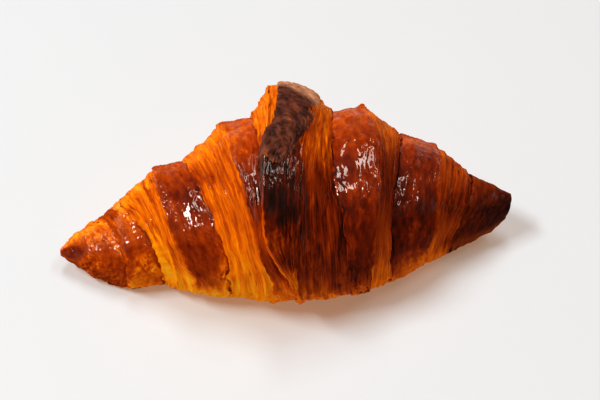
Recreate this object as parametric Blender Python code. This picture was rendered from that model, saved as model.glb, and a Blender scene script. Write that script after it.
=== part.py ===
"""A baked butter croissant, straight and plump: one solid, built as the roll of laminated dough it is.

Metres. +X runs along the roll from its left point to its right point, +Y to its back and +Z up.
The origin is on the table, under the middle of the croissant.
"""

import math
from collections import namedtuple

import bmesh
import bpy

# Driving dimensions, in metres.
LENGTH = 0.1704  # point to point
DEPTH = 0.0840  # front to back across the middle turn, its widest
HEIGHT = 0.0670  # from the table to the top of the tail, where it crosses the crown
TAIL_WIDTH = 0.0125  # the end of the dough triangle, wrapped over the crown
TAIL_THICKNESS = 0.0017  # how far that end stands proud of the turn below it

HALF_LENGTH = LENGTH / 2
HALF_DEPTH = DEPTH / 2

# The dough turns round the roll in steps. Each step has a foot, the crease where it rises from the
# turn outside it, and a brim, where its cut edge ends and its egg-washed face begins. A ring is one
# such line: how far along the roll it lies, how much the helix of the dough moves it inwards at the
# front (skew) and at the crown (lean), all as shares of HALF_LENGTH; its half-depth and height as
# shares of HALF_DEPTH and HEIGHT; how far it lifts off the table, as a share of HEIGHT; and how far
# it lies to the back, as a share of HALF_DEPTH.
Ring = namedtuple("Ring", "name along skew lean wide tall lift back")
RINGS = (
    Ring("left_point", -1.000, 0.00, 0.00, 0.02, 0.133, 0.113, -0.049),
    Ring("left_outer_foot", -0.803, 0.08, 0.05, 0.30, 0.297, 0.000, -0.109),
    Ring("left_outer_brim", -0.763, 0.05, 0.03, 0.35, 0.328, 0.000, -0.109),
    Ring("left_second_foot", -0.645, 0.09, -0.02, 0.38, 0.409, 0.000, -0.099),
    Ring("left_second_brim", -0.497, 0.07, -0.04, 0.58, 0.563, 0.000, -0.089),
    Ring("left_inner_foot", -0.369, 0.09, 0.00, 0.65, 0.594, 0.000, -0.089),
    Ring("left_inner_brim", -0.192, 0.07, -0.03, 0.82, 0.778, 0.000, -0.079),
    Ring("middle_left_foot", -0.063, -0.01, -0.10, 0.84, 0.819, 0.000, -0.069),
    Ring("middle_left_brim", -0.024, -0.03, -0.08, 0.99, 0.993, 0.000, 0.001),
    Ring("middle_right_brim", 0.094, -0.09, -0.01, 0.96, 0.931, 0.000, -0.029),
    Ring("middle_right_foot", 0.242, -0.03, -0.04, 0.86, 0.798, 0.000, -0.049),
    Ring("right_inner_brim", 0.351, -0.03, 0.02, 0.84, 0.809, 0.000, -0.039),
    Ring("right_inner_foot", 0.479, -0.07, -0.01, 0.68, 0.635, 0.000, -0.069),
    Ring("right_outer_brim", 0.637, -0.06, 0.03, 0.55, 0.553, 0.000, -0.029),
    Ring("right_outer_foot", 0.775, -0.06, 0.04, 0.37, 0.348, 0.010, -0.039),
    Ring("right_point", 0.960, 0.02, 0.04, 0.09, 0.297, 0.102, -0.079),
)

SEGMENTS = 52  # points round each ring
POINT_RINGS = 5  # rings added between a point of the roll and the first foot
FACE_RINGS = 3  # rings added across an egg-washed face
FACE_SWELL = 0.015  # share by which a face puffs up between its foot and its brim
LEAVES = 3  # terraces of dough leaves on each cut edge
LEAF_RUN = 0.35  # share of a leaf's run that it takes to climb
LEAF_CLIMB = 0.66  # share of its height climbed by then
LEFT_ROUNDING = 0.78  # exponent of the girth near the left point: under 1 rounds the cone
RIGHT_ROUNDING = 0.66  # and near the right point, which is blunt and stands up at its top
WAVE = 0.0011  # metres that a foot or brim wanders along the roll
UNEVEN = 0.012  # share by which a ring's girth varies on its way round
WIDEST_AT = 0.45  # height of the widest place, as a share of the ring's own height
BASE_SINK = 0.0012  # metres of the roll pressed flat by the baking tray

# The tail lies askew over the crown. It comes up the back, where it is still as wide as the middle
# turn and part of it, narrows on the way and ends at the front.
TAIL_FROM, TAIL_TO = -120.0, 26.0  # degrees round the roll from the crown, + to the front
TAIL_AT_CROWN = 0.0020  # metres right of the origin at the crown
TAIL_SWAY = 0.0085  # metres it swings left towards the front, and right towards the back
TAIL_SPREAD = 0.0050  # metres wider at the back than at its end
TAIL_STEPS = 20
TAIL_ROOT = 0.0040  # metres that the tail's underside is sunk into the roll, to join it
TAIL_FALL = 0.0036  # metres that its right side hangs lower than its left side, over the crown and the back


def wander(index, angle):
    """A smooth wave round the roll, from -1 to 1, different for each ring."""
    return (
        0.55 * math.sin(2 * angle + 2.4 * index)
        + 0.30 * math.sin(3 * angle + 4.1 * index)
        + 0.15 * math.sin(5 * angle + 1.7 * index)
    )


def measures(index, angle):
    """(along, half-depth, height, lift, back) of a ring at an angle from the crown, in metres."""
    ring = RINGS[index]
    slant = ring.skew * math.sin(angle) + ring.lean * math.cos(angle)
    at_point = index in (0, len(RINGS) - 1)
    wave = 0.0 if at_point else wander(index, angle)
    girth = 1 + UNEVEN * wave
    return (
        HALF_LENGTH * (ring.along + slant) + WAVE * wave,
        HALF_DEPTH * ring.wide * girth,
        HEIGHT * ring.tall * girth,
        HEIGHT * ring.lift - (0.0 if at_point else BASE_SINK),
        HALF_DEPTH * ring.back,
    )


def blend(first, second, share, girth_share):
    """Measures between two rings': share of the way along the roll, girth_share of the way in size."""
    along = first[0] + (second[0] - first[0]) * share
    return (along, *(a + (b - a) * girth_share for a, b in zip(first[1:], second[1:])))


def place(sizes, angle):
    """The point of a ring with these measures at an angle from the crown, positive to the front."""
    along, half_depth, height, lift, back = sizes
    waist = lift + WIDEST_AT * (height - lift)
    side, up = math.sin(angle), math.cos(angle)
    if up >= 0:
        return (along, back - half_depth * side, waist + (height - waist) * up)
    side = math.copysign(abs(side) ** 0.85, side)
    return (along, back - half_depth * side, waist - (waist - lift) * abs(up) ** 0.65)


def leaf_steps():
    """(share of the run, share of the climb) up a cut edge from its foot: a terrace for each leaf."""
    steps = []
    for leaf in range(LEAVES):
        steps.append((leaf / LEAVES, leaf / LEAVES))
        steps.append(((leaf + LEAF_RUN) / LEAVES, (leaf + LEAF_CLIMB) / LEAVES))
    steps.append((1.0, 1.0))
    return steps


def is_cut_edge(index):
    """True if the stretch from ring index to the next runs between the foot and the brim of one turn."""
    turn, _ = RINGS[index].name.rsplit("_", 1)
    next_turn, _ = RINGS[index + 1].name.rsplit("_", 1)
    return turn == next_turn


def swollen(sizes, share):
    """Measures on a face, puffed up between its ends."""
    puff = 1 + FACE_SWELL * math.sin(math.pi * share)
    along, half_depth, height, lift, back = sizes
    return (along, half_depth * puff, height * puff, lift, back)


def stretch(index, angle):
    """The measures of every ring from ring index up to the next, at one angle."""
    first, second = measures(index, angle), measures(index + 1, angle)
    if is_cut_edge(index):
        steps = leaf_steps()
        if first[2] > second[2]:
            steps = [(1 - run, 1 - climb) for run, climb in reversed(steps)]
        return [blend(first, second, run, climb) for run, climb in steps[:-1]]
    if index == 0:
        shares = [i / POINT_RINGS for i in range(POINT_RINGS)]
        return [blend(first, second, s, s**LEFT_ROUNDING) for s in shares]
    if index == len(RINGS) - 2:
        shares = [i / POINT_RINGS for i in range(POINT_RINGS)]
        return [blend(first, second, s, 1 - (1 - s) ** RIGHT_ROUNDING) for s in shares]
    shares = [i / (FACE_RINGS + 1) for i in range(FACE_RINGS + 1)]
    return [swollen(blend(first, second, s, s), s) for s in shares]


def meridian(angle):
    """The measures of the roll from its left point to its right point, at one angle."""
    line = [sizes for index in range(len(RINGS) - 1) for sizes in stretch(index, angle)]
    return line + [measures(len(RINGS) - 1, angle)]


def lofted(name, loops):
    """A mesh object whose closed loops of points are joined in order, with the ends capped."""
    mesh = bpy.data.meshes.new(name)
    bm = bmesh.new()
    rings = [[bm.verts.new(point) for point in loop] for loop in loops]
    count = len(loops[0])
    for low, high in zip(rings, rings[1:]):
        for i in range(count):
            j = (i + 1) % count
            bm.faces.new((low[i], low[j], high[j], high[i]))
    bm.faces.new(rings[0][::-1])
    bm.faces.new(rings[-1])
    bmesh.ops.recalc_face_normals(bm, faces=bm.faces)
    bm.to_mesh(mesh)
    bm.free()
    made = bpy.data.objects.new(name, mesh)
    bpy.context.scene.collection.objects.link(made)
    return made


def cut_flat_at_table(piece):
    """Takes off what lies under the table and closes the cut with the flat base."""
    bm = bmesh.new()
    bm.from_mesh(piece.data)
    bmesh.ops.bisect_plane(
        bm,
        geom=bm.verts[:] + bm.edges[:] + bm.faces[:],
        dist=1e-6,
        plane_co=(0, 0, 0),
        plane_no=(0, 0, 1),
        clear_inner=True,
    )
    rim = [edge for edge in bm.edges if edge.is_boundary]
    bmesh.ops.holes_fill(bm, edges=rim, sides=0)
    bmesh.ops.recalc_face_normals(bm, faces=bm.faces)
    bm.to_mesh(piece.data)
    bm.free()


def sizes_at(along, angle):
    """The roll's measures where it crosses a given place along it, at one angle."""
    line = meridian(angle)
    for low, high in zip(line, line[1:]):
        if low[0] <= along <= high[0]:
            share = (along - low[0]) / (high[0] - low[0])
            return blend(low, high, share, share)
    return line[-1]


def make_roll():
    angles = [2 * math.pi * i / SEGMENTS for i in range(SEGMENTS)]
    lines = [meridian(angle) for angle in angles]
    loops = [[place(sizes, angle) for sizes, angle in zip(ring, angles)] for ring in zip(*lines)]
    roll = lofted("croissant", loops)
    cut_flat_at_table(roll)
    return roll


def make_tail():
    """The tail as a bent strip, thick in its middle and thinner at its sides, rooted in the roll."""
    profile = [(-0.5, -TAIL_ROOT), (-0.5, 0.45 * TAIL_THICKNESS), (-0.38, 0.9 * TAIL_THICKNESS)]
    profile += [(0.0, 1.1 * TAIL_THICKNESS)]
    profile += [(-across, out) for across, out in profile[2::-1]]
    loops = []
    for step in range(TAIL_STEPS + 1):
        share = step / TAIL_STEPS
        angle = math.radians(TAIL_FROM + (TAIL_TO - TAIL_FROM) * share)
        centre = TAIL_AT_CROWN - TAIL_SWAY * math.sin(angle)
        # Blunt and round at its end, and sinking into the middle turn at the back.
        width = (TAIL_WIDTH + TAIL_SPREAD * (1 - share)) * math.sqrt(1 - 0.55 * share**16)
        sunk = TAIL_THICKNESS * max(0.0, 1 - share / 0.4) ** 2
        # The strip bridges the lie of the roll, so all of its points take the centre's girth.
        _, half_depth, height, lift, back = sizes_at(centre, angle)
        fall = TAIL_FALL * min(1.0, 3 * (1 - share))
        loop = []
        for across, out in profile:
            out -= 1.6 * sunk + fall * (across + 0.2)
            sizes = (centre + across * width, half_depth + out, height + out, lift, back)
            loop.append(place(sizes, angle))
        loops.append(loop)
    return lofted("tail_join", loops)


def joined(roll, tail):
    """The roll with the tail baked onto it, as one body of the named sizes over the origin."""
    join = roll.modifiers.new("tail", "BOOLEAN")
    join.operation = "UNION"
    join.solver = "EXACT"
    join.object = tail
    graph = bpy.context.evaluated_depsgraph_get()
    mesh = bpy.data.meshes.new_from_object(roll.evaluated_get(graph))
    roll.modifiers.clear()
    roll.data = mesh
    bpy.data.objects.remove(tail)
    lows = [min(vertex.co[axis] for vertex in mesh.vertices) for axis in range(3)]
    highs = [max(vertex.co[axis] for vertex in mesh.vertices) for axis in range(3)]
    for vertex in mesh.vertices:
        for axis, size in enumerate((LENGTH, DEPTH, HEIGHT)):
            share = (vertex.co[axis] - lows[axis]) / (highs[axis] - lows[axis])
            vertex.co[axis] = size * (share - (0.0 if axis == 2 else 0.5))
    return roll


def crust():
    """Baked dough: rough, matt to satin, orange brown."""
    material = bpy.data.materials.new("baked_crust")
    material.use_nodes = True
    shader = material.node_tree.nodes["Principled BSDF"]
    shader.inputs["Base Color"].default_value = (0.42, 0.13, 0.015, 1.0)
    shader.inputs["Roughness"].default_value = 0.42
    shader.inputs["Metallic"].default_value = 0.0
    return material


def main():
    for old in list(bpy.data.objects):
        bpy.data.objects.remove(old)
    croissant = joined(make_roll(), make_tail())
    croissant.data.materials.clear()
    croissant.data.materials.append(crust())
    croissant.data.shade_smooth()
    croissant.data.set_sharp_from_angle(angle=math.radians(40))


main()
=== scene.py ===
import math
from collections import namedtuple

import bpy
import numpy as np
from mathutils import Matrix, Vector


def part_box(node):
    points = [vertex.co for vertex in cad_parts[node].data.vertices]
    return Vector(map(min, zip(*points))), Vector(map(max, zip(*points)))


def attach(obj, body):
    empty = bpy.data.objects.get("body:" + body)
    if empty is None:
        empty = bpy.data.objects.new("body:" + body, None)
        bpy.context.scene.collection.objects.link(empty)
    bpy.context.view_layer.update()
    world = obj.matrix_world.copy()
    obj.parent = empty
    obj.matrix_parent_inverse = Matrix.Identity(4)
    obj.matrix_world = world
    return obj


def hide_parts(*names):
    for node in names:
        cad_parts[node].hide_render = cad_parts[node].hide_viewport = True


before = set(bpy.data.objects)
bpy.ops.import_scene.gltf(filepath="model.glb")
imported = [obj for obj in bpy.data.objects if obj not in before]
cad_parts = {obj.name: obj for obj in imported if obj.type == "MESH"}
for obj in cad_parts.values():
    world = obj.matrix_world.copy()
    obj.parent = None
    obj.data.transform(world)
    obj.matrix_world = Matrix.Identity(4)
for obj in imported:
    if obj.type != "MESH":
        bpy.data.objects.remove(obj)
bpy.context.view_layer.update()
bpy.ops.object.select_all(action="DESELECT")

# The left point of the roll: the narrowest turn of the sheet of laminated dough, brushed with egg and
# baked until its skin is glossy, with one scorch near its end. All turns are rolled in the same way, so
# what they share is defined here: the rings they run between, their relief and their crust.
mm = 0.001
low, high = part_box("croissant")
half_length = (high[0] - low[0]) / 2
half_depth = (high[1] - low[1]) / 2
height = high[2] - low[2]
middle = np.array([(high[0] + low[0]) / 2, (high[1] + low[1]) / 2, low[2]])

# A ring is the foot or the brim of a turn: its place along the roll, how much further to the right the
# helix of the dough puts it at the front (skew) and at the crown (lean), its half-depth, its height, its
# lift off the table and its shift to the back, as shares of the croissant's own half-length, half-depth
# and height. Its number sets how it wanders, and its bend is how many mm further to the right still it
# lies at some angles from the crown.
Ring = namedtuple("Ring", "number along skew lean wide tall lift back bend", defaults=({0: 0.0},))
left_point_end = Ring(0, -1.000, 0.00, 0.00, 0.02, 0.133, 0.113, -0.049)
left_outer_foot = Ring(1, -0.803, 0.08, 0.05, 0.30, 0.297, 0.000, -0.109)

POINT_ENDS = (0, 15)  # the numbers of the two rings that close the points
WIDEST_AT = 0.45  # height of the widest place of a turn, as a share of the turn's own height
FLANK = 0.85  # how full a turn is below that place: 1 is an ellipse, and less is fuller
BOTTOM = 0.65  # how flat it lies on the tray: 1 is an ellipse, and less is flatter
UNEVEN = 0.012  # share by which the girth of a ring varies on its way round
WAVE = 1.1 * mm  # how far a ring wanders along the roll
FRAY = 0.7 * mm  # how far its torn edge wanders, in waves of a few millimetres
PRESSED = 1.2 * mm  # how far the tray pressed the underside flat
SWELL = 0.015  # share by which an egg-washed face puffs up between its foot and its brim


def noise(points, seed=0):
    """Smooth lumps from about -1 to 1, one to a unit, at each row of points.

    Each corner of a unit cell has a slope of its own, which large odd numbers mix from its place.
    """
    cell = np.floor(points).astype(np.int64)
    part = points - cell
    fade = part**3 * (part * (part * 6 - 15) + 10)
    total = np.zeros(len(points))
    for corner in np.ndindex(2, 2, 2):
        mixed = (cell + corner) @ np.array([374761393, 668265263, 2147483647]) + seed * 974634777
        mixed = (mixed ^ (mixed >> 13)) * 1274126177 & 0xFFFFFFFF
        mixed = (mixed ^ (mixed >> 16)) * 2246822519 & 0xFFFFFFFF
        slope = np.stack([(mixed >> shift & 1023) / 511.5 - 1 for shift in (0, 10, 20)], axis=-1)
        weight = np.prod(np.where(corner, fade, 1 - fade), axis=1)
        total += weight * np.sum(slope * (part - corner), axis=1)
    return total * 1.6


def ridges(points, seed=0):
    """Sharp ridges where the noise crosses zero: 1 on a ridge, 0 between."""
    return np.clip(1 - 2.4 * np.abs(noise(points, seed)), 0, 1)


def steps(start, end, value):
    """0 up to the start, 1 from the end on, and a smooth rise between. The end may be the lower one."""
    share = np.clip((value - start) / (end - start), 0, 1)
    return share * share * (3 - 2 * share)


def wander(number, angle):
    """A smooth wave round the roll, from -1 to 1, different for each ring."""
    return (
        0.55 * np.sin(2 * angle + 2.4 * number)
        + 0.30 * np.sin(3 * angle + 4.1 * number)
        + 0.15 * np.sin(5 * angle + 1.7 * number)
    )


def round_the_roll(table, degrees):
    """Values given at a few angles from the crown, read at all angles and smoothed over 12 degrees.

    A pair of values stays a pair, and a single value is read twice.
    """
    pairs = np.array([np.broadcast_to(value, 2) for value in table.values()], float)
    nearby = [
        np.stack([np.interp(degrees + shift, list(table), pairs[:, i]) for i in (0, 1)])
        for shift in (-6, -3, 0, 3, 6)
    ]
    return np.mean(nearby, axis=0)


def ring_at(ring, angle, frayed=True):
    """(along, half-depth, height, lift, back) of a ring in metres, at each angle from the crown."""
    at_point = ring.number in POINT_ENDS
    wave = wander(ring.number, angle) * (not at_point)
    girth = 1 + UNEVEN * wave
    circle = np.stack([5 * np.cos(angle), 5 * np.sin(angle), 0 * angle + 3.7 * ring.number], axis=-1)
    fray = (noise(circle, 5) + 0.6 * noise(2.3 * circle, 6)) * (frayed and not at_point)
    slant = ring.skew * np.sin(angle) + ring.lean * np.cos(angle)
    bend = mm * round_the_roll(ring.bend, np.degrees(angle))[0]
    return np.stack(
        [
            half_length * (ring.along + slant) + bend + WAVE * wave + FRAY * fray,
            half_depth * ring.wide * girth,
            height * ring.tall * girth,
            height * ring.lift - PRESSED * (not at_point) + 0 * angle,
            half_depth * ring.back + 0 * angle,
        ],
        axis=-1,
    )


def place(sizes, angle):
    """Points of a ring with these measures. Angles run from the crown, positive to the front."""
    along, half, top, lift, back = np.moveaxis(sizes, -1, 0)
    waist = lift + WIDEST_AT * (top - lift)
    side, up = np.sin(angle), np.cos(angle)
    out = np.where(up >= 0, side, np.sign(side) * np.abs(side) ** FLANK)
    z = waist + np.where(up >= 0, (top - waist) * up, (lift - waist) * np.abs(up) ** BOTTOM)
    return np.stack([along, back - half * out, z], axis=-1)


def linear(code):
    """A colour given as sRGB hex, in linear light."""
    channels = [int(code[i : i + 2], 16) / 255 for i in (1, 3, 5)]
    return (*(c / 12.92 if c <= 0.04045 else ((c + 0.055) / 1.055) ** 2.4 for c in channels), 1.0)


def node(tree, kind, settings=None, links=None):
    """Adds a node with its settings and the sockets that feed it."""
    made = tree.nodes.new(kind)
    for key, value in (settings or {}).items():
        if isinstance(key, str) and hasattr(made, key):
            setattr(made, key, value)
        else:
            made.inputs[key].default_value = value
    for key, source in (links or {}).items():
        tree.links.new(source, made.inputs[key])
    return made


def fill_ramp(ramp, stops):
    """Sets the stops of a colour ramp. A new one has two, which become its ends and are given first."""
    for i, (position, code) in enumerate(stops):
        stop = ramp.elements[i] if i < 2 else ramp.elements.new(position)
        stop.position = position
        stop.color = linear(code)


# Egg-washed crust: laminated dough, brushed with egg and baked dark. Where it was brushed (gloss) it
# shines like varnish over mahogany, and where it was cut (leaf) it is matt, with a fine grain of leaves
# from butter yellow to brown. bake is how far it is browned, from 0, pale, to 1, burnt, and it also
# holds the shade painted darker into creases and cracks.
crust = bpy.data.materials.new("egg_washed_crust")
crust.use_nodes = True
tree = crust.node_tree
shader = tree.nodes["Principled BSDF"]
bake = node(tree, "ShaderNodeAttribute", {"attribute_name": "bake"}).outputs["Fac"]
gloss = node(tree, "ShaderNodeAttribute", {"attribute_name": "gloss"}).outputs["Fac"]
leaf = node(tree, "ShaderNodeAttribute", {"attribute_name": "leaf"}).outputs["Fac"]
spot = node(tree, "ShaderNodeTexCoord").outputs["Object"]
dough = node(tree, "ShaderNodeUVMap", {"uv_map": "dough"}).outputs["UV"]

# The grain of the leaves: lines 0.4 mm apart and 16 mm long, in bands 1.1 mm wide and 22 mm long. The
# UV map holds metres of dough, across the turn and round it.
lines = node(tree, "ShaderNodeMapping", {"Scale": (2600, 62, 1)}, {"Vector": dough}).outputs[0]
bands = node(tree, "ShaderNodeMapping", {"Scale": (900, 45, 1)}, {"Vector": dough}).outputs[0]
streaks = {"Scale": 1.0, "Detail": 3.0, "Roughness": 0.6}
line = node(tree, "ShaderNodeTexNoise", streaks, {"Vector": lines}).outputs["Fac"]
band = node(tree, "ShaderNodeTexNoise", {"Scale": 1.0, "Detail": 2.0}, {"Vector": bands}).outputs["Fac"]
# The mottling of the brushed egg, in patches 2 mm wide and 5 mm long.
patches = node(tree, "ShaderNodeMapping", {"Scale": (520, 210, 1)}, {"Vector": dough}).outputs[0]
mottling = {"Scale": 1.0, "Detail": 4.0, "Roughness": 0.6}
patch = node(tree, "ShaderNodeTexNoise", mottling, {"Vector": patches}).outputs["Fac"]
grain = node(tree, "ShaderNodeMath", {"operation": "ADD"}, {0: line, 1: band}).outputs[0]
# Dark leaves vary more than pale ones, and brushed skin varies by the same amount throughout.
deeper = {"operation": "MULTIPLY_ADD", 1: 0.66, 2: 0.13}
depth = node(tree, "ShaderNodeMath", deeper, {0: bake}).outputs[0]
centred = node(tree, "ShaderNodeMath", {"operation": "SUBTRACT", 1: 1.0}, {0: grain}).outputs[0]
on_leaf = node(tree, "ShaderNodeMath", {"operation": "MULTIPLY"}, {0: centred, 1: depth}).outputs[0]
either_way = {"operation": "MULTIPLY_ADD", 1: 0.54, 2: -0.27}
on_skin = node(tree, "ShaderNodeMath", either_way, {0: patch}).outputs[0]
by_leaf = {"data_type": "FLOAT"}
uneven = node(tree, "ShaderNodeMix", by_leaf, {0: leaf, 2: on_skin, 3: on_leaf}).outputs[0]
browned = node(tree, "ShaderNodeMath", {"operation": "ADD"}, {0: bake, 1: uneven}).outputs[0]
browning = node(tree, "ShaderNodeValToRGB", links={"Fac": browned})
BROWNING = (
    (0.00, "#ffb52a"),
    (1.00, "#1f0d09"),
    (0.10, "#ffa010"),
    (0.20, "#f68607"),
    (0.28, "#e46f05"),
    (0.42, "#b54a04"),
    (0.56, "#963604"),
    (0.70, "#722204"),
    (0.85, "#431508"),
)
fill_ramp(browning.color_ramp, BROWNING)
# Bare leaves are a shade more golden than brushed skin.
shade = {"data_type": "RGBA", "blend_type": "MULTIPLY", 7: (1.02, 1.05, 0.6, 1.0)}
golden = node(tree, "ShaderNodeMix", shade, {0: leaf, 6: browning.outputs["Color"]}).outputs[2]
# Egg on the faces is a clear, smooth coat, and bare dough is rough.
coating = {"From Min": 0.15, "From Max": 0.9, "To Max": 0.9}
coat = node(tree, "ShaderNodeMapRange", coating, {"Value": gloss}).outputs[0]
rough = node(tree, "ShaderNodeMapRange", {"To Min": 0.65, "To Max": 0.42}, {"Value": gloss}).outputs[0]
# Puckers 1.3 mm across on the skin, the grain on the leaves.
puckers = {"Scale": 750.0, "Detail": 1.5}
pores = node(tree, "ShaderNodeTexNoise", puckers, {"Vector": spot}).outputs["Fac"]
relief = node(tree, "ShaderNodeMix", by_leaf, {0: leaf, 2: pores, 3: line}).outputs[0]
puckered = {"Strength": 0.3, "Distance": 0.25 * mm}
bump = node(tree, "ShaderNodeBump", puckered, {"Height": relief}).outputs[0]
tree.links.new(golden, shader.inputs["Base Color"])
tree.links.new(rough, shader.inputs["Roughness"])
tree.links.new(coat, shader.inputs["Coat Weight"])
tree.links.new(bump, shader.inputs["Normal"])
tree.links.new(bump, shader.inputs["Coat Normal"])
shader.inputs["Specular IOR Level"].default_value = 0.04
shader.inputs["Coat Roughness"].default_value = 0.05
shader.inputs["Coat IOR"].default_value = 1.55
shader.inputs["Subsurface Weight"].default_value = 0.05
shader.inputs["Subsurface Radius"].default_value = (1.0, 0.35, 0.06)
shader.inputs["Subsurface Scale"].default_value = 0.0015

# One stretch of a turn between two rings, with the rows of points across it: its kind, and how far
# it is browned at each angle from the crown, at its first ring and at its second where they differ.
# Out of sight, a cut edge goes on as a tuck below its neighbour, and a face goes on under the next
# turn.
Zone = namedtuple("Zone", "kind first second rows bake")

# A patch that the oven marked: its middle, in mm along the roll and degrees from the crown, how far it
# reaches each way, and how brown, glossy and leafy it is.
Scorch = namedtuple("Scorch", "along angle half_along half_angle bake gloss leaf")

# How a turn came out: the seed of its noise; the width, length and height of its wrinkles in mm; how
# glossy and how mottled its skin is; how thick the bead of egg on its brim is, by angle; how hard its
# edge is pressed into the crease at the foot, and how dark the shade painted there is; the angle down
# to which the tail presses on its face; the angle, reach and height in mm of a flare, where its brim
# stands up; and its scorches.
Finish = namedtuple(
    "Finish",
    "seed wrinkle glossy mottled bead pinched pressed flare scorches",
    defaults=(1.0, 1.0, {0: 1.0}, 0.3, None, None, ()),
)
LEAF = 0.8  # mm between the leaves of dough on a cut edge
TUCK = 0.34  # how far a turn goes on out of sight, as a share of its visible width
SLIMMER = 0.04  # how much slimmer a face is at the end of that stretch
LEFT_TAPER, RIGHT_TAPER = 0.78, 0.66  # how blunt the two points are: 1 is a cone, and less is blunter
BRUSHED = (34, 52)  # degrees from the crown between which the egg thins out down the sides
BRUSHED_BACK = (-8, -32)  # and where it gets thinner towards the back
UNDERSIDE = (86, 98)  # degrees from the crown between which a side turns to the pale underside


def zone_rows(zone, angle, frayed=True):
    """The rows of points across a zone, and each row's share of the way."""
    first, second = ring_at(zone.first, angle, frayed), ring_at(zone.second, angle, frayed)
    rows, shares = [], np.linspace(0, 1, zone.rows + 1)
    for share in shares:
        if zone.kind == "tuck_left":
            sizes = first - (second - first) * TUCK * (1 - share)
        elif zone.kind == "tuck_right":
            sizes = second - (first - second) * TUCK * share
        elif zone.kind == "under_left":
            sizes = first + (first - second) * TUCK * (1 - share)
            sizes[:, 1:3] = first[:, 1:3] * (1 - SLIMMER * (1 - share))
        elif zone.kind == "under_right":
            sizes = second + (second - first) * TUCK * share
            sizes[:, 1:3] = second[:, 1:3] * (1 - SLIMMER * share)
        else:
            sizes = first + (second - first) * share
            if zone.kind == "left_point":
                sizes[:, 1:] = first[:, 1:] + (second - first)[:, 1:] * share**LEFT_TAPER
            if zone.kind == "right_point":
                sizes[:, 1:] = first[:, 1:] + (second - first)[:, 1:] * (1 - (1 - share) ** RIGHT_TAPER)
            if zone.kind == "face":
                sizes[:, 1:3] *= 1 + SWELL * math.sin(math.pi * share)
        rows.append(place(sizes, angle))
    return np.array(rows), shares


def leaf_relief(spots, share, width, bake, finish):
    """Height in mm, change of browning and gloss of a cut edge: thin leaves of dough, torn and uneven.
    The browning is painted darker in its cracks and in the crease at its foot, as shade.

    spots are in mm, across the edge, to the back and up, and so are the sizes that divide them. share
    runs from 0 at the foot of the edge to 1 at its brim, which are width mm apart.
    """
    seed = finish.seed
    sway = 0.4 * noise(spots / [12, 30, 30], seed) + 0.10 * noise(spots / [3, 8, 8], seed + 1)
    through = share * width / LEAF + sway
    number = np.floor(through)
    part = through - number
    # Each leaf overlaps the next like a shingle, and stands proud of the others in places.
    shingle = np.where(part < 0.3, part / 0.3, (1 - part) / 0.7)
    leaf_spots = np.stack([number * 5.37, spots[:, 1] / 7, spots[:, 2] / 7], axis=-1)
    proud = noise(leaf_spots, seed + 2)
    # Leaves stick together in bundles and split into strands, and whole ledges of them stand out.
    bundle = noise(spots / [1.7, 11, 11] + 0.2 * sway[:, None], seed + 3)
    strand = noise(spots / [0.8, 9, 9], seed + 4)
    ledge = 0.5 - 1.8 * np.abs(noise(spots / [5.0, 26, 26] + 0.3 * sway[:, None], seed + 9))
    # Deep cracks run between some of them, and small flakes lift all over.
    crack = ridges(spots / [1.9, 9, 9] + 0.3 * sway[:, None], seed + 5)
    crack = crack**3 * np.clip(0.2 + noise(spots / [6, 9, 9], seed + 6), 0, 1)
    flake = noise(spots / [1.3, 2.4, 2.4], seed + 10)
    rise = 0.80 * ledge + 0.10 * shingle + 0.06 * proud - 0.28 * crack - 0.1
    rise += 0.16 * bundle + 0.09 * strand + 0.09 * flake
    # The cracks are painted darker, as the shade that falls into them.
    brown = 0.05 * (0.5 - shingle) + 0.06 * proud + 0.07 * bundle + 0.07 * strand + 0.24 * crack
    brown += 0.11 * noise(spots / [2.0, 11, 11], seed + 7) + 0.035 * flake
    glint = steps(0.30, 0.60, noise(spots / [0.8, 2.2, 2.2], seed + 8)) * steps(-0.1, 0.3, proud)
    # The lowest leaves are pressed down into the crease, and painted darker there as the shade in it.
    squeezed_and_shaded = finish.pinched * steps(0.18, 0.0, share)
    rise -= 0.42 * squeezed_and_shaded
    brown += 0.50 * bake * squeezed_and_shaded
    return rise, brown, 0.12 + 0.7 * glint


def skin_relief(spots, finish):
    """Height in mm, change of browning and gloss of egg-washed skin, and the height of its bead in mm.

    The skin is puffed, wrinkled and blistered, and the bead is only used along a brim. spots are in mm,
    and so are the sizes that divide them.
    """
    seed = finish.seed
    across, around, deep = finish.wrinkle
    warp = 0.5 * noise(spots / 5, seed)[:, None]
    swell = 0.42 * noise(spots / [7, 20, 20], seed + 1)
    swell += 0.36 * noise(spots / [3.2, 12, 12] + 0.4 * warp, seed + 2)
    where = np.clip(0.55 + 1.1 * noise(spots / 8, seed + 3), 0.1, 1)
    crease = ridges(spots / [across, around, around] + warp, seed + 4) * where
    fine = ridges(spots / [0.45 * across, 0.5 * around, 0.5 * around] + warp, seed + 5) * where
    lip = np.clip(0.28 + 0.50 * noise(spots / [9, 6, 6], seed + 6), 0, 1)
    fleck = steps(0.15, 0.55, noise(spots / [0.9, 2.2, 2.2] + warp, seed + 10))
    pucker = 0.06 * noise(spots / [1.1, 2.0, 2.0] + warp, seed + 14)
    rise = swell + deep * (crease + 0.35 * fine) + pucker - 0.15
    brown = 0.09 * noise(spots / [5, 8, 8], seed + 7) + 0.07 * noise(spots / [1.6, 4, 4], seed + 8)
    brown += 0.05 - 0.15 * crease**2 - 0.07 * fine - 0.12 * fleck * where
    return rise, brown, 0.80 + 0.7 * noise(spots / [3, 8, 8], seed + 9), lip


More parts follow.
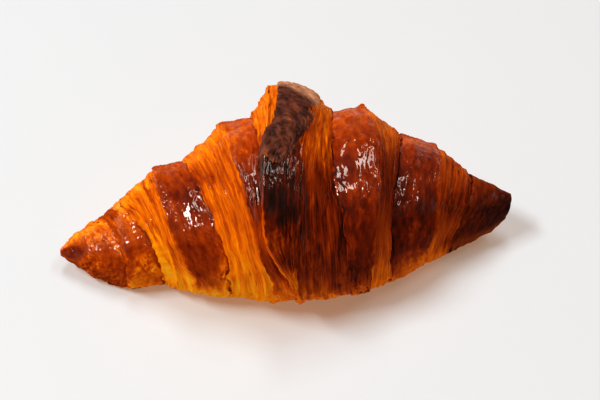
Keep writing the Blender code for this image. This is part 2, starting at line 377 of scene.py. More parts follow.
def face_relief(spots, ends, angles, bake, finish):
    """Height in mm, change of browning and gloss of a whole face, with painted shade in its creases.

    ends says of each end whether it is a brim, and how many mm away it is from each spot.
    """
    rise, brown, shine, lip = skin_relief(spots, finish)
    lip = lip * round_the_roll(finish.bead, angles)[0]
    for is_brim, far in ends:
        if is_brim:  # torn and pale, with a bead of egg along it
            rise += lip * np.exp(-(((far - 1.3) / 0.9) ** 2)) - 0.2 * steps(0.3, 0.0, far)
            brown -= 0.22 * bake * steps(0.8, 0.1, far)
            if finish.flare is not None:
                at, reach, tall = finish.flare
                peak = np.exp(-(((angles - at) / reach) ** 2))
                rise += tall * peak * steps(5.0, 0.0, far)
        else:  # a crease, where the face is painted darker as the shade in it
            brown += 0.22 * bake * steps(0.9, 0.1, far)
    # Behind the crown the skin browned more evenly.
    brown *= 1 - 0.5 * steps(8, -18, angles)
    if finish.pressed is not None:
        flat = steps(finish.pressed + 5, finish.pressed - 5, angles)
        rise = (1 - 0.7 * flat) * rise - 1.2 * flat * steps(-45, -15, angles)
    return rise, brown, shine


def baked_zone(zone, before, after, rows, where, width, degrees, finish):
    """Height in mm, browning, gloss and leafiness at each point of a zone, between its neighbours.
    The browning holds painted shade in creases and cracks.

    where is how far each point lies across the sheet of dough, and width is how wide the zone is, both
    in metres.
    """
    shape = rows.shape[:2]
    shares = np.linspace(0, 1, zone.rows + 1)
    share = np.broadcast_to(shares[:, None], shape).ravel()
    angles = np.broadcast_to(degrees, shape).ravel()
    spots = np.stack([where.ravel(), rows[..., 1].ravel(), rows[..., 2].ravel()], axis=-1) / mm
    first, second = round_the_roll(zone.bake, degrees)
    bake = (first + (second - first) * shares[:, None]).ravel()
    tucked = zone.kind.startswith("tuck")
    cut = tucked or zone.kind.startswith("edge")
    if cut:  # a tuck lies as low as the foot of the edge all over
        from_foot = {"edge_up": share, "edge_down": 1 - share}.get(zone.kind, 0 * share)
        rise, brown, shine = leaf_relief(spots, from_foot, width / mm, bake, finish)
    elif zone.kind == "face":
        ends = (
            (before.kind.startswith("edge"), share * width / mm),
            (after.kind.startswith("edge"), (1 - share) * width / mm),
        )
        rise, brown, shine = face_relief(spots, ends, angles, bake, finish)
    else:
        rise, brown, shine, _ = skin_relief(spots, finish)
    leafy = np.full(len(share), float(cut))

    # The egg thins out down the sides, and below it the dough is pale, matt and lumpy from steam.
    seed = finish.seed
    under = steps(*UNDERSIDE, np.abs(angles) + 5 * noise(spots / 6, seed + 11))
    rise += under * 0.35 * noise(spots / 2.2, seed + 12)
    shine = finish.glossy * shine * (1 - 0.95 * steps(*BRUSHED, np.abs(angles)))
    shine = np.clip(shine * (1 - 0.9 * under) * (1 - 0.6 * steps(*BRUSHED_BACK, angles)), 0, 1)
    leafy = leafy + 0.4 * under * (1 - leafy)
    brown = bake + finish.mottled * brown

    # A scorch has a ragged outline, and where it is leafy its strands stand up.
    for mark in finish.scorches:
        reach = ((rows[..., 0].ravel() / mm - mark.along) / mark.half_along) ** 2
        reach = reach + ((angles - mark.angle) / mark.half_angle) ** 2
        reach = steps(1.5, 0.45, reach + 0.5 * noise(spots / [2, 5, 5], seed + 13)) * (not tucked)
        strands = mark.leaf * reach * noise(spots / [0.8, 6, 6], seed + 17)
        brown = brown + (mark.bake + 0.5 * (brown - bake) - brown) * reach + 0.13 * strands
        rise = rise + 0.35 * strands
        shine = shine + (mark.gloss - shine) * reach
        leafy = leafy + (mark.leaf - leafy) * reach
    return [values.reshape(shape) for values in (rise, brown, shine, leafy)]


def outward(points):
    """The way straight out of a sheet at each of its points."""
    normal = np.cross(np.gradient(points, axis=1), np.gradient(points, axis=0))
    return normal / (np.linalg.norm(normal, axis=-1, keepdims=True) + 1e-12)


def sheet(name, points, layers):
    """A mesh with rows of points, and with named layers of values at them."""
    rows, columns = points.shape[:2]
    bpy.ops.mesh.primitive_grid_add(x_subdivisions=columns - 1, y_subdivisions=rows - 1, size=1)
    piece = bpy.context.object
    piece.name = name
    piece.data.vertices.foreach_set("co", points.ravel())
    for label, values in layers.items():
        layer = piece.data.attributes.new(label, "FLOAT", "POINT")
        layer.data.foreach_set("value", values.astype("f").ravel())
    return piece


def rolled_dough(name, zones, around, finish):
    """One closed turn of dough, rolled round the croissant and let down to the table.

    around is how many points go round it.
    """
    angle = np.linspace(-np.pi, np.pi, around + 1)
    stretches, width = [], 0.0
    for before, zone, after in zip((None, *zones), zones, (*zones[1:], None)):
        rows, shares = zone_rows(zone, angle)
        span = np.linalg.norm(rows[-1] - rows[0], axis=-1)[around // 4 : -around // 4].mean()
        # The leaves run straight, and the torn edges cut through them.
        torn = rows[..., 0] - zone_rows(zone, angle, False)[0][..., 0]
        where = width + span * shares[:, None] + torn
        baked = baked_zone(zone, before, after, rows, where, span, np.degrees(angle), finish)
        stretches.append((rows, where, *baked))
        width += span
    # Each end is drawn in to one point inside the neighbour, which closes the sheet.
    grids = [np.concatenate([grid[0][:1], *grid, grid[-1][-1:]]) for grid in zip(*stretches)]
    points, across, rises, *looks = grids
    # The egg ran over the brims in places and stopped short of them in others.
    spots = np.stack([across, points[..., 1], points[..., 2]], axis=-1).reshape(-1, 3) / mm
    ran = 1.1 * noise(spots / 5, finish.seed + 15) + 0.6 * noise(spots / 1.8, finish.seed + 16)
    row = np.arange(len(across))[:, None] + ran.reshape(across.shape) * mm * len(across) / width
    row = np.clip(np.rint(row), 0, len(across) - 1).astype(int)
    looks = [np.take_along_axis(values, row, axis=0) for values in looks]
    points[0], points[-1] = points[1].mean(axis=0), points[-2].mean(axis=0)
    points += middle
    normal = outward(points)
    normal[[0, -1]] = 0
    points += normal * rises[..., None] * mm
    points = np.clip(points, low, high)
    piece = sheet(name, points, dict(zip(("bake", "gloss", "leaf"), looks)))

    # The UV map holds metres of dough, across the sheet and round the roll.
    girth = np.linalg.norm(np.diff(points[len(points) // 2], axis=0), axis=-1)
    girth = np.broadcast_to(np.concatenate([[0], np.cumsum(girth)]), across.shape)
    mesh = piece.data
    corner = np.empty(len(mesh.loops), np.int32)
    mesh.loops.foreach_get("vertex_index", corner)
    layout = np.stack([across.ravel(), girth.ravel()], axis=-1)[corner]
    mesh.uv_layers[0].name = "dough"
    mesh.uv_layers[0].data.foreach_set("uv", layout.ravel())
    bpy.ops.object.mode_set(mode="EDIT")
    bpy.ops.mesh.select_all(action="SELECT")
    bpy.ops.mesh.remove_doubles(threshold=0.001 * mm)
    bpy.ops.mesh.normals_make_consistent(inside=False)
    bpy.ops.object.mode_set(mode="OBJECT")
    bpy.ops.object.shade_smooth()
    mesh.materials.append(crust)
    piece.select_set(False)
    return piece


left_point = rolled_dough(
    "left_point",
    (
        Zone(
            "left_point",
            left_point_end,
            left_outer_foot,
            96,
            {
                -180: 0.50, -120: 0.50, -100: 0.50, -88: 0.30, -60: 0.30, -30: (0.14, 0.15),
                -10: (0.17, 0.38), 10: (0.40, 0.34), 30: (0.58, 0.42), 50: (0.23, 0.52),
                70: (0.50, 0.58), 86: (0.32, 0.48), 97: 0.50, 120: 0.50, 180: 0.50,
            },
        ),
        Zone("under_right", left_point_end, left_outer_foot, 6, {0: 0.5}),
    ),
    around=300,
    finish=Finish(
        seed=11,
        wrinkle=(1.6, 2.2, 0.52),
        scorches=(Scorch(-80.5, 40, 4.5, 36, 0.64, 0.4, 0),),
    ),
)
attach(left_point, "root")
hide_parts("croissant")

# The outermost turn on the left: the same sheet, rolled on over the point. It makes a low step with
# a thin cut edge, and it baked an even orange, with a few glossy wrinkles of egg on its top.
left_outer_brim = Ring(2, -0.763, 0.05, 0.03, 0.35, 0.328, 0.000, -0.109)
left_second_foot = Ring(3, -0.645, 0.09, -0.02, 0.38, 0.409, 0.000, -0.099)
left_outer_turn = rolled_dough(
    "left_outer_turn",
    (
        Zone("tuck_left", left_outer_foot, left_outer_brim, 4, {0: 0.5}),
        Zone(
            "edge_up",
            left_outer_foot,
            left_outer_brim,
            18,
            {
                -180: 0.50, -120: 0.42, -100: 0.42, -88: 0.35, -60: 0.35, -30: (0.38, 0.40),
                -10: (0.56, 0.50), 10: (0.43, 0.55), 30: (0.46, 0.44), 50: (0.50, 0.48),
                70: (0.38, 0.40), 86: (0.42, 0.46), 97: 0.42, 120: 0.42, 180: 0.50,
            },
        ),
        Zone(
            "face",
            left_outer_brim,
            left_second_foot,
            50,
            {
                -180: 0.50, -120: 0.28, -100: 0.28, -88: 0.33, -60: 0.33, -30: (0.10, 0.08),
                -10: (0.36, 0.28), 10: (0.42, 0.36), 30: (0.44, 0.40), 50: (0.50, 0.42),
                70: (0.40, 0.26), 86: (0.40, 0.20), 97: 0.28, 120: 0.28, 180: 0.50,
            },
        ),
        Zone("under_right", left_outer_brim, left_second_foot, 6, {0: 0.5}),
    ),
    around=360,
    finish=Finish(seed=31, wrinkle=(1.7, 2.4, 0.30)),
)
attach(left_outer_turn, "root")
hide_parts("croissant")

# The second turn on the left: the dough was cut here, so its side is a broad band of bare butter
# yellow leaves, which the egg never reached. Its brushed face is dark, glossy and finely wrinkled.
left_second_brim = Ring(4, -0.497, 0.07, -0.04, 0.58, 0.563, 0.000, -0.089)
left_inner_foot = Ring(5, -0.369, 0.09, 0.00, 0.65, 0.594, 0.000, -0.089)
left_second_turn = rolled_dough(
    "left_second_turn",
    (
        Zone("tuck_left", left_second_foot, left_second_brim, 6, {0: 0.4}),
        Zone(
            "edge_up",
            left_second_foot,
            left_second_brim,
            84,
            {
                -180: 0.50, -120: 0.04, -100: 0.04, -88: 0.30, -60: 0.25, -30: (0.14, 0.22),
                -10: (0.28, 0.34), 10: (0.22, 0.34), 30: (0.17, 0.35), 50: (0.07, 0.33),
                70: (0.09, 0.30), 86: (0.07, 0.18), 97: 0.12, 120: 0.12, 180: 0.50,
            },
        ),
        Zone(
            "face",
            left_second_brim,
            left_inner_foot,
            56,
            {
                -180: 0.50, -120: 0.06, -100: 0.06, -88: 0.46, -60: 0.46, -30: (0.40, 0.40),
                -10: (0.55, 0.57), 10: (0.56, 0.73), 30: (0.56, 0.65), 50: (0.57, 0.56),
                70: (0.56, 0.30), 86: (0.64, 0.36), 97: 0.14, 120: 0.14, 180: 0.50,
            },
        ),
        Zone("under_right", left_second_brim, left_inner_foot, 6, {0: 0.6}),
    ),
    around=460,
    finish=Finish(seed=51, wrinkle=(1.7, 3.2, 0.42), flare=(-50, 18, 1.0)),
)
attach(left_second_turn, "root")
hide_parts("croissant")

# The inner turn on the left: the broadest cut edge of all, whose many leaves rose in the oven and
# fanned out downwards. The egg left long glossy strands on its face, and a thick bead on its brim
# near the crown.
left_inner_brim = Ring(
    6, -0.192, 0.07, -0.03, 0.82, 0.778, 0.000, -0.079,
    {60: 0, 75: 1.0, 88: 2.6, 105: 2.6, 130: 0},
)
middle_left_foot = Ring(
    7, -0.063, -0.01, -0.10, 0.84, 0.819, 0.000, -0.069,
    {-90: 0, -70: -2.0, -50: -1.5, -30: 2.5, 0: 5.8, 20: 4.8, 40: 2.4, 60: 0, 80: 1.0, 100: 4.5, 130: 0},
)
left_inner_turn = rolled_dough(
    "left_inner_turn",
    (
        Zone("tuck_left", left_inner_foot, left_inner_brim, 6, {0: 0.4}),
        Zone(
            "edge_up",
            left_inner_foot,
            left_inner_brim,
            96,
            {
                -180: 0.50, -120: 0.06, -100: 0.06, -88: 0.30, -60: 0.26, -30: (0.23, 0.21),
                -10: (0.44, 0.31), 10: (0.36, 0.33), 30: (0.32, 0.37), 50: (0.28, 0.34),
                70: (0.17, 0.26), 86: (0.17, 0.27), 97: 0.15, 120: 0.15, 180: 0.50,
            },
        ),
        Zone(
            "face",
            left_inner_brim,
            middle_left_foot,
            50,
            {
                -180: 0.50, -120: 0.14, -100: 0.14, -88: 0.40, -60: 0.40, -30: (0.36, 0.34),
                -10: (0.38, 0.53), 10: (0.55, 0.60), 30: (0.76, 0.90), 50: (0.62, 0.24),
                70: (0.58, 0.62), 82: (0.62, 0.64), 90: (0.36, 0.36), 97: 0.30, 120: 0.2, 180: 0.50,
            },
        ),
        Zone("under_right", left_inner_brim, middle_left_foot, 6, {0: 0.6}),
    ),
    around=540,
    finish=Finish(
        seed=71,
        wrinkle=(2.0, 9.0, 0.24),
        mottled=0.7,
        bead={-30: 0.6, -8: 1.0, 2: 2.0, 20: 2.0, 32: 0.3, 90: 0.6},
        flare=(-48, 14, 1.5),
    ),
)
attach(left_inner_turn, "root")
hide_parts("croissant")

# The middle turn, the thickest: the last of the sheet before its tail, with cut edges on both sides of
# a narrow face. The egg ran together below the tail and burnt black there, and behind the crown a pale,
# leafy stretch was never brushed.
middle_left_brim = Ring(
    8, -0.024, -0.03, -0.08, 0.99, 0.993, 0.000, 0.001,
    {-80: 0, -45: 3.6, -20: 4.0, 0: 3.0, 15: 0.8, 30: -1.0, 60: -3.4, 80: -0.5, 100: 4.0, 130: 0},
)
middle_right_brim = Ring(9, 0.094, -0.09, -0.01, 0.96, 0.931, 0.000, -0.029)
middle_right_foot = Ring(10, 0.242, -0.03, -0.04, 0.86, 0.798, 0.000, -0.049)
middle_turn = rolled_dough(
    "middle_turn",
    (
        Zone("tuck_left", middle_left_foot, middle_left_brim, 6, {0: 0.4}),
        Zone(
            "edge_up",
            middle_left_foot,
            middle_left_brim,
            52,
            {
                -180: 0.50, -120: 0.12, -100: 0.12, -88: 0.20, -60: 0.15, -30: 0.14,
                -10: (0.52, 0.36), 10: (0.66, 0.56), 30: (0.48, 0.46), 50: (0.34, 0.40),
                62: (0.08, 0.28), 70: (0.27, 0.34), 80: (0.28, 0.36), 88: (0.21, 0.26),
                97: 0.26, 120: 0.12, 180: 0.50,
            },
        ),
        Zone(
            "face",
            middle_left_brim,
            middle_right_brim,
            48,
            {
                -180: 0.50, -120: 0.16, -100: 0.16, -88: 0.45, -60: 0.45, -30: (0.14, 0.50),
                -10: (0.20, 0.60), 10: (0.62, 0.70), 30: (0.74, 0.78), 50: (0.73, 0.78),
                70: (0.64, 0.54), 86: (0.22, 0.30), 97: 0.30, 120: 0.16, 180: 0.50,
            },
        ),
        Zone(
            "edge_down",
            middle_right_brim,
            middle_right_foot,
            84,
            {
                -180: 0.50, -120: 0.20, -100: 0.20, -88: 0.42, -60: 0.42, -30: (0.26, 0.24),
                -10: (0.47, 0.35), 10: (0.40, 0.30), 30: (0.67, 0.69), 50: (0.70, 0.72),
                70: (0.72, 0.66), 86: (0.70, 0.68), 97: 0.40, 120: 0.24, 180: 0.50,
            },
        ),
        Zone("tuck_right", middle_right_brim, middle_right_foot, 6, {0: 0.6}),
    ),
    around=490,
    finish=Finish(
        seed=91,
        wrinkle=(1.4, 5.0, 0.38),
        flare=(44, 17, 1.3),
        scorches=(
            Scorch(-5.0, 34, 6.0, 18, 0.90, 1.0, 0.5),
            Scorch(-2.5, 54, 3.5, 10, 0.86, 0.3, 0.8),
            Scorch(-3.0, -24, 9.0, 38, 0.25, 0.1, 1),
            Scorch(1.0, 68, 8.0, 14, 0.63, 0.05, 1.8),
            Scorch(2.4, 38, 2.6, 26, 0.78, 0.5, 0.8),
        ),
        pressed=15,  # the tail lies on its face down to this angle
    ),
)
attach(middle_turn, "root")
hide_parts("croissant")

# The inner turn on the right: a broad face of the sheet, brushed smooth with egg and baked to deep
# mahogany. Its leaves darkened too, and they are pressed hard into the crease at their foot, where
# painted shade darkens them further.
right_inner_brim = Ring(11, 0.351, -0.03, 0.02, 0.84, 0.809, 0.000, -0.039)
right_inner_foot = Ring(
    12, 0.479, -0.07, -0.01, 0.68, 0.635, 0.000, -0.069,
    {-60: 0, -30: 1.8, 0: 1.8, 25: 0.8, 50: 0},
)
right_inner_turn = rolled_dough(
    "right_inner_turn",
    (
        Zone("under_left", middle_right_foot, right_inner_brim, 6, {0: 0.6}),
        Zone(
            "face",
            middle_right_foot,
            right_inner_brim,
            54,
            {
                -180: 0.50, -120: 0.24, -100: 0.24, -88: 0.42, -60: 0.42, -30: 0.40,
                -10: (0.45, 0.54), 10: (0.66, 0.64), 30: (0.78, 0.56), 50: (0.73, 0.72),
                70: (0.67, 0.67), 86: (0.84, 0.74), 97: 0.40, 120: 0.24, 180: 0.50,
            },
        ),
        Zone(
            "edge_down",
            right_inner_brim,
            right_inner_foot,
            84,
            {
                -180: 0.50, -120: 0.26, -100: 0.26, -88: 0.42, -60: 0.42, -30: (0.22, 0.30),
                -10: (0.38, 0.50), 10: (0.60, 0.62), 30: 0.72, 50: (0.58, 0.47),
                70: (0.52, 0.39), 86: (0.40, 0.32), 97: 0.26, 120: 0.26, 180: 0.50,
            },
        ),
        Zone("tuck_right", right_inner_brim, right_inner_foot, 6, {0: 0.6}),
    ),
    around=540,
    finish=Finish(
        seed=111,
        wrinkle=(2.8, 7.0, 0.36),
        mottled=0.6,
        pinched=1.0,
        flare=(-49, 14, 1.5),
    ),
)
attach(right_inner_turn, "root")
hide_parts("croissant")

# The outer turn on the right: a dark face of the sheet with fine blisters, from which the egg ran off
# and left hardly a bead along the brim, and a slope of brown leaves down to the point.
right_outer_brim = Ring(13, 0.637, -0.06, 0.03, 0.55, 0.553, 0.000, -0.029)
right_outer_foot = Ring(14, 0.775, -0.06, 0.04, 0.37, 0.348, 0.010, -0.039)
right_outer_turn = rolled_dough(
    "right_outer_turn",
    (
        Zone("under_left", right_inner_foot, right_outer_brim, 6, {0: 0.7}),
        Zone(
            "face",
            right_inner_foot,
            right_outer_brim,
            60,
            {
                -180: 0.50, -120: 0.28, -100: 0.28, -88: 0.50, -60: 0.50, -30: (0.36, 0.42),
                -10: (0.60, 0.72), 10: (0.70, 0.60), 30: (0.76, 0.70), 50: (0.76, 0.76),
                70: (0.76, 0.74), 86: (0.58, 0.54), 97: 0.28, 120: 0.28, 180: 0.50,
            },
        ),
        Zone(
            "edge_down",
            right_outer_brim,
            right_outer_foot,
            84,
            {
                -180: 0.50, -120: 0.30, -100: 0.30, -88: 0.45, -60: 0.45, -30: (0.34, 0.46),
                -10: (0.40, 0.50), 10: (0.44, 0.58), 30: (0.62, 0.68), 50: (0.54, 0.55),
                70: (0.41, 0.38), 86: (0.28, 0.62), 97: 0.30, 120: 0.30, 180: 0.50,
            },
        ),
        Zone("tuck_right", right_outer_brim, right_outer_foot, 6, {0: 0.6}),
    ),
    around=460,
    finish=Finish(
        seed=131,
        wrinkle=(2.0, 3.4, 0.30),
        glossy=0.9,
        mottled=0.7,
        bead={0: 0.2},
        pinched=0.6,
        flare=(-52, 20, 1.0),
    ),
)
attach(right_outer_turn, "root")
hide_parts("croissant")

# The right point: the last, narrow turn of dough on this side, tucked in to a blunt end. It is burnt
# nearly black, as the part that stands nearest to an oven's wall is, and the egg on it went dull.
right_point_end = Ring(
    15, 0.960, 0.02, 0.04, 0.09, 0.297, 0.102, -0.079,
    {-60: -2.0, -25: -0.8, 0: 0, 20: -0.5, 45: -0.8, 80: 0},
)
right_point = rolled_dough(
    "right_point",
    (
        Zone("under_left", right_outer_foot, right_point_end, 6, {0: 0.8}),
        Zone(
            "right_point",
            right_outer_foot,
            right_point_end,
            90,
            {
                -180: 0.50, -120: 0.52, -100: 0.52, -88: 0.60, -60: 0.60, -30: (0.56, 0.56),
                -10: (0.60, 0.74), 10: (0.68, 0.85), 30: (0.72, 0.89), 50: (0.76, 0.90),
                70: (0.74, 0.84), 86: 0.72, 97: 0.52, 120: 0.52, 180: 0.50,
            },
        ),
    ),
    around=360,
    finish=Finish(seed=151, wrinkle=(3.0, 3.0, 0.24), glossy=0.2, mottled=0.6),
)
# Scorched crust: the same dough and egg, baked past mahogany. Its red has turned to a dull coffee
# brown, and its gloss and leaves are those of the egg-washed crust.
COFFEE = (0.84, 1.10, 1.7, 1.0)  # what the browning's red, green, blue and alpha are multiplied by
scorched = crust.copy()
scorched.name = "scorched_crust"
for stop in scorched.node_tree.nodes[browning.name].color_ramp.elements:
    stop.color = [shift * channel for shift, channel in zip(COFFEE, stop.color)]
right_point.data.materials[0] = scorched
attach(right_point, "root")
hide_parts("croissant")

# The tail: the tip of the dough triangle, laid askew over the crown. It dried out in the heat, so it
# is leathery and dull, gathered in wrinkles across, with a torn, paler fringe at its end.
tail_thickness = 1.7 * mm
tail_root = 3.4 * mm  # how deep its edges go on into the turn below
tail_fall = 2.4 * mm  # how much lower its right edge lies than its left one
tail_wander = 0.7 * mm  # how far its two edges wander along the roll
tail_sag = 0.5 * mm  # how far its end sags
tail_from, tail_to = -120, 22  # degrees from the crown at which it starts and ends
# Where its two edges lie along the roll, in mm by angle, and how far its end is torn, in degrees from
# one side to the other.
TAIL_LEFT = {-120: 0.5, -40: 1.0, -17: -0.8, -8: -2.2, 5: -4.2, 8: -4.9, 14: -6.5, 18: -9.5, 22: -12.5}
TAIL_RIGHT = {-120: 17.5, -40: 15.2, -29: 14.2, -12: 10.8, -3: 9.5, 7: 6.8, 16: 3.8, 30: 1.5}
TAIL_END = ((-1.0, -7), (-0.75, -2), (-0.4, 2), (0.1, 3), (0.5, -1), (1.0, -7))
TAIL_ROWS, TAIL_POINTS = 330, 110
MIDDLE_RINGS = (middle_left_foot, middle_left_brim, middle_right_brim, middle_right_foot)


def middle_sizes(along, angle):
    """The middle turn's half-depth, height, lift and back at one place along the roll and one angle."""
    sizes = np.array([ring_at(ring, np.array([angle]))[0] for ring in MIDDLE_RINGS])
    brims = np.clip(along, sizes[1, 0], sizes[2, 0])
    under = 0.5 * (along + brims)  # beyond the brims it hangs half-way down the slope
    return np.array([np.interp(under, sizes[:, 0], sizes[:, i]) for i in range(1, 5)])


loops = []
side = np.linspace(-1, 1, TAIL_POINTS)
across = np.concatenate([[-1.0], side, [1.0]])  # its two edges go down into the roll
end_line = np.stack([across, 0 * across, 0 * across], axis=-1)
ragged = np.interp(across, *zip(*TAIL_END))
ragged += 1.4 * noise(5 * end_line, 21) + 1.0 * noise(14 * end_line, 22)
for row in range(TAIL_ROWS + 1):
    share = row / TAIL_ROWS
    degrees = tail_from + (tail_to - tail_from) * share
    angle = np.radians(degrees + ragged * steps(0.75, 1.0, share))
    left = mm * round_the_roll(TAIL_LEFT, degrees)[0]
    right = mm * round_the_roll(TAIL_RIGHT, degrees)[0]
    centre = (left + right) / 2
    # It comes out of the turn below at the back, gets thinner to its edges, and lies level at its end.
    sunk = tail_thickness * max(0.0, 1 - share / 0.4) ** 2
    fall = tail_fall * min(1.0, 3 * (1 - share))
    profile = tail_thickness * (1.1 - 0.65 * np.abs(across) ** 3)
    profile[[0, -1]] = -tail_root
    out = profile - 1.6 * sunk - fall * across / 2 - tail_sag * steps(0.985, 1.0, share) - 0.5 * mm
    edge_wave = noise(np.stack([0 * across + share * 26, 3.3 * np.sign(across), 0 * across], axis=-1), 7)
    along = centre + across * (right - left) / 2 + tail_wander * edge_wave * np.abs(across) ** 2
    sizes = middle_sizes(along, math.radians(degrees))
    full = [along, sizes[0] + out, sizes[1] + out, sizes[2], sizes[3]]
    loops.append(place(np.stack(full, axis=-1), angle))
tail_points = np.array(loops) + middle
spots = tail_points.reshape(-1, 3) / mm
far = np.broadcast_to(np.linspace(0, 1, TAIL_ROWS + 1)[:, None], tail_points.shape[:2]).ravel()
sideways = np.broadcast_to(across, tail_points.shape[:2]).ravel()
# The wrinkles run across the tail and bend round near its end.
gathered = spots[:, 1] * 0.8 - spots[:, 2] * 0.6 + 0.45 * (sideways * 3.2) ** 2 * steps(0.8, 1.0, far)
wrinkle_spots = np.stack([spots[:, 0] / 2.8, gathered / 1.5, 0 * far], axis=-1)
wrinkles = ridges(wrinkle_spots + 0.6 * noise(spots / 4, 3)[:, None], 8)
folds = noise(np.stack([spots[:, 0] / 3.2, gathered / 2.3, 0 * far], axis=-1), 9)
rise = 0.60 * folds + 0.46 * wrinkles + 0.10 * noise(spots / 1.2, 10) - 0.25
tail_points += outward(tail_points) * (rise * mm).reshape(tail_points.shape[:2])[..., None]
tail_points = np.clip(tail_points, low, high)
# Its fringe and its two edges are paler, and so are the tops of its wrinkles.
fringe = steps(0.984, 0.998, far + 0.012 * noise(spots / 1.2, 12))
edge_band = steps(0.90, 1.0, np.abs(sideways) + 0.06 * noise(spots / 2, 13))
tail_bake = 0.66 + 0.24 * folds - 0.22 * wrinkles - 0.16 * fringe - 0.08 * edge_band
# Over the crown a band of it is painted pinkish pale, as the sheen of the bright room glancing off
# it, and behind that it baked golden brown.
tail_angle = tail_from + (tail_to - tail_from) * far - 6 * sideways + 4 * folds
painted_sheen = steps(-22, -32, tail_angle) * steps(-54, -42, tail_angle)
painted_sheen = np.clip(painted_sheen * (1.0 + 0.6 * folds - 0.4 * wrinkles), 0, 1)
tail_bake -= 0.62 * steps(-38, -54, tail_angle)
tail = sheet("tail", tail_points, {"bake": tail_bake, "painted_sheen": painted_sheen})
bpy.ops.object.mode_set(mode="EDIT")
bpy.ops.mesh.select_all(action="DESELECT")
bpy.ops.mesh.select_non_manifold()
bpy.ops.mesh.edge_face_add()
bpy.ops.mesh.select_all(action="SELECT")
bpy.ops.mesh.normals_make_consistent(inside=False)
bpy.ops.object.mode_set(mode="OBJECT")
bpy.ops.object.shade_smooth()

# Leathery crust: dough that dried before the egg could set. It is dull and cool brown, darkest on the
# swells between its wrinkles and paler where it was torn, with one band painted pinkish pale as a
# sheen.
leathery = bpy.data.materials.new("leathery_crust")
leathery.use_nodes = True
tree = leathery.node_tree
shader = tree.nodes["Principled BSDF"]
bake = node(tree, "ShaderNodeAttribute", {"attribute_name": "bake"}).outputs["Fac"]
spot = node(tree, "ShaderNodeTexCoord").outputs["Object"]
# Flecks 1.1 mm across, which also pit the surface.
flecks = {"Scale": 900.0, "Detail": 3.0}
fleck = node(tree, "ShaderNodeTexNoise", flecks, {"Vector": spot}).outputs["Fac"]
flecked = {"operation": "MULTIPLY_ADD", 1: 0.3}
browned = node(tree, "ShaderNodeMath", flecked, {0: fleck, 2: bake}).outputs[0]
drying = node(tree, "ShaderNodeValToRGB", links={"Fac": browned})
DRYING = ((0.00, "#e58e1a"), (1.00, "#27100c"), (0.20, "#c9701c"), (0.45, "#80442c"), (0.72, "#5a2d20"))
fill_ramp(drying.color_ramp, DRYING)
pitted = {"Strength": 0.5, "Distance": 0.25 * mm}
bump = node(tree, "ShaderNodeBump", pitted, {"Height": fleck}).outputs[0]
# The painted sheen: a pinkish pale band that stands in for the room's light glancing off the crown.
pale = node(tree, "ShaderNodeAttribute", {"attribute_name": "painted_sheen"}).outputs["Fac"]
sheen_tint = {"data_type": "RGBA", 7: linear("#cf9470")}
skin = node(tree, "ShaderNodeMix", sheen_tint, {0: pale, 6: drying.outputs["Color"]}).outputs[2]
tree.links.new(skin, shader.inputs["Base Color"])
tree.links.new(bump, shader.inputs["Normal"])
shader.inputs["Roughness"].default_value = 0.48
shader.inputs["Specular IOR Level"].default_value = 0.18
tail.data.materials.append(leathery)
tail.select_set(False)
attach(tail, "root")
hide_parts("croissant")

# The floor: a plain pale table top, smooth and matt, just below the croissant's flat underside. A faint
# warm glow of its own stands for the light that it and the crust throw at each other.
FLOOR_SIZE = 20.0  # metres, so that its edges are out of sight
FLOOR_GAP = 0.2 * mm
bpy.ops.mesh.primitive_plane_add(size=FLOOR_SIZE, location=(0, 0, low[2] - FLOOR_GAP))
floor = bpy.context.object
floor.name = "floor"
table_top = bpy.data.materials.new("white_table")
table_top.use_nodes = True
shader = table_top.node_tree.nodes["Principled BSDF"]
shader.inputs["Base Color"].default_value = linear("#b9cfe1")
shader.inputs["Roughness"].default_value = 0.6
shader.inputs["Emission Color"].default_value = linear("#e4b893")
shader.inputs["Emission Strength"].default_value = 0.32
floor.data.materials.append(table_top)

# The light: a tall window on the left, a long skylight above and a little behind, and a narrow pane on
# the right, all soft and slightly warm. The room itself glows near the floor and is dim overhead.
LAMP_DISTANCE = 2.0


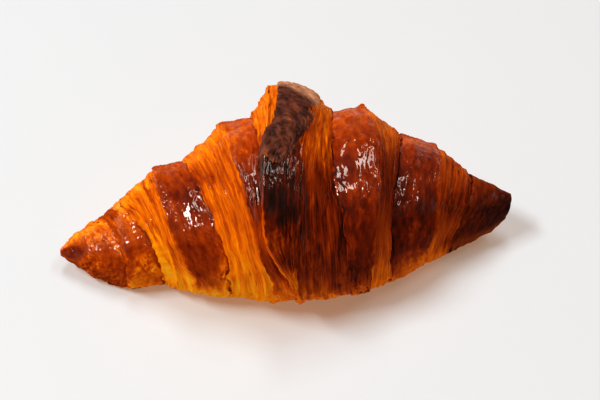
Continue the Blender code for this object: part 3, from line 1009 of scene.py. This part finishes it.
def softbox(name, direction, width, length, power):
    """A soft light, in metres and watts, that looks at the croissant. Its length runs to the back."""
    lamp = bpy.data.lights.new(name, "AREA")
    lamp.shape = "RECTANGLE"
    lamp.size, lamp.size_y = width, length
    lamp.energy = power
    lamp.color = (1.0, 0.93, 0.85)
    stand = bpy.data.objects.new(name, lamp)
    bpy.context.collection.objects.link(stand)
    towards = Vector(direction).normalized()
    sideways = Vector((0, 1, 0)).cross(towards).normalized()
    turned = Matrix((sideways, towards.cross(sideways), towards)).transposed()
    stand.location = towards * LAMP_DISTANCE
    stand.rotation_euler = turned.to_euler()


softbox("window", direction=(-0.57, -0.02, 0.82), width=0.26, length=0.86, power=24.8)
softbox("skylight", direction=(0.02, 0.31, 0.95), width=0.34, length=1.00, power=11.5)
softbox("side_pane", direction=(0.46, 0.02, 0.88), width=0.12, length=1.00, power=6.4)
world = bpy.data.worlds.new("studio")
bpy.context.scene.world = world
world.use_nodes = True
sky = world.node_tree
direction = node(sky, "ShaderNodeTexCoord").outputs["Generated"]
upward = node(sky, "ShaderNodeSeparateXYZ", links={0: direction}).outputs["Z"]
dimming = {"From Max": 0.35, "To Min": 0.50, "To Max": 0.08}
glow = node(sky, "ShaderNodeMapRange", dimming, {"Value": upward})
sky.nodes["Background"].inputs["Color"].default_value = (1.0, 0.97, 0.94, 1)
sky.links.new(glow.outputs[0], sky.nodes["Background"].inputs["Strength"])
# Standard shows the browns as they are, and the look deepens them a little.
bpy.context.scene.view_settings.view_transform = "Standard"
bpy.context.scene.view_settings.look = "Medium High Contrast"

# The camera: a long lens close by, above the front and a little to the left, which looks down at the
# middle of the croissant.
camera = bpy.data.cameras.new("camera")
camera.lens = 67.2
camera.sensor_width = 36
eye = bpy.data.objects.new("camera", camera)
bpy.context.collection.objects.link(eye)
azimuth = math.radians(-6.6)
elevation = math.radians(48)
distance = 0.421
aim = Vector((5.7 * mm, 3.0 * mm, 20.0 * mm))
back = Vector(
    (
        math.sin(azimuth) * math.cos(elevation),
        -math.cos(azimuth) * math.cos(elevation),
        math.sin(elevation),
    )
)
eye.location = aim + distance * back
eye.rotation_euler = back.to_track_quat("Z", "Y").to_euler()
bpy.context.scene.camera = eye
